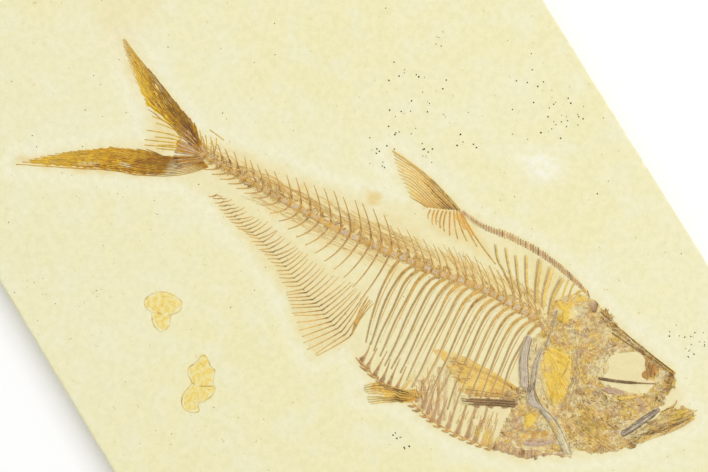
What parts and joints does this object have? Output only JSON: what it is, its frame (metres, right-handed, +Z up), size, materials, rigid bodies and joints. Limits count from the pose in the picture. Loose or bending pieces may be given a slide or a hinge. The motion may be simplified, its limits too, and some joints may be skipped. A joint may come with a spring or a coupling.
{
  "type": "fossil fish slab",
  "caption": "Fossil of a deep-bellied, herring-like fish lying flat on a thin rectangular slab of pale limestone, its bones and fins in low relief.",
  "frame": {"origin": "middle of the slab's underside, on the surface that the slab lies on", "axes": "+X along the slab's long side, towards the end where the fish's head is; +Y across the slab, towards the side that the fish's back faces; +Z up, out of the face that shows the fossil"},
  "size_m": [0.38, 0.2856, 0.015],
  "materials": {
    "limestone": "matt, fine-grained, cream-yellow laminated limestone",
    "brown_bone": "satin, brown petrified bone with amber edges",
    "amber_bone": "satin, amber petrified bone",
    "yellow_bone": "satin, thin bright yellow petrified bone",
    "grey_bone": "satin, mauve-grey petrified bone",
    "dark_fin": "satin, dark brown petrified fin rays with amber between them",
    "mineral": "matt, thin yellow mineral crust"
  },
  "bodies": {
    "root": {"slab": "limestone", "vertebral_column": "brown_bone", "rib_01": "amber_bone", "rib_02": "amber_bone", "rib_03": "amber_bone", "rib_04": "amber_bone", "rib_05": "amber_bone", "rib_06": "amber_bone", "rib_07": "amber_bone", "rib_08": "amber_bone", "rib_09": "amber_bone", "rib_10": "amber_bone", "rib_11": "amber_bone", "rib_12": "amber_bone", "rib_13": "amber_bone", "rib_14": "amber_bone", "rib_15": "amber_bone", "rib_16": "amber_bone", "rib_17": "amber_bone", "rib_18": "amber_bone", "supraneural_1": "amber_bone", "supraneural_2": "amber_bone", "supraneural_3": "amber_bone", "supraneural_4": "amber_bone", "supraneural_5": "amber_bone", "supraneural_6": "amber_bone", "supraneural_7": "amber_bone", "dorsal_scutes": "brown_bone", "dorsal_fin_supports": "amber_bone", "dorsal_fin": "dark_fin", "anal_fin_supports": "amber_bone", "anal_fin": "amber_bone", "tail_fin_upper": "dark_fin", "tail_fin_lower": "dark_fin", "pelvic_fin": "dark_fin", "pectoral_fin_far": "yellow_bone", "pectoral_fin_near": "dark_fin", "belly_scutes_rear": "brown_bone", "belly_scutes_front": "brown_bone", "throat_scutes": "brown_bone", "shoulder_bar": "grey_bone", "temple_plate": "yellow_bone", "occipital_crest": "grey_bone", "braincase": "brown_bone", "skull_roof": "brown_bone", "snout_wedge": "brown_bone", "upper_jaw": "brown_bone", "eye_bar": "grey_bone", "opercle": "yellow_bone", "preopercle": "grey_bone", "cheek": "brown_bone", "maxilla": "grey_bone", "lower_jaw": "brown_bone", "gill_rays": "amber_bone", "cleithrum_rear": "grey_bone", "cleithrum_front": "grey_bone", "coracoid": "amber_bone", "mineral_patch_left": "mineral", "mineral_patch_right": "mineral"}
  },
  "joints": []
}
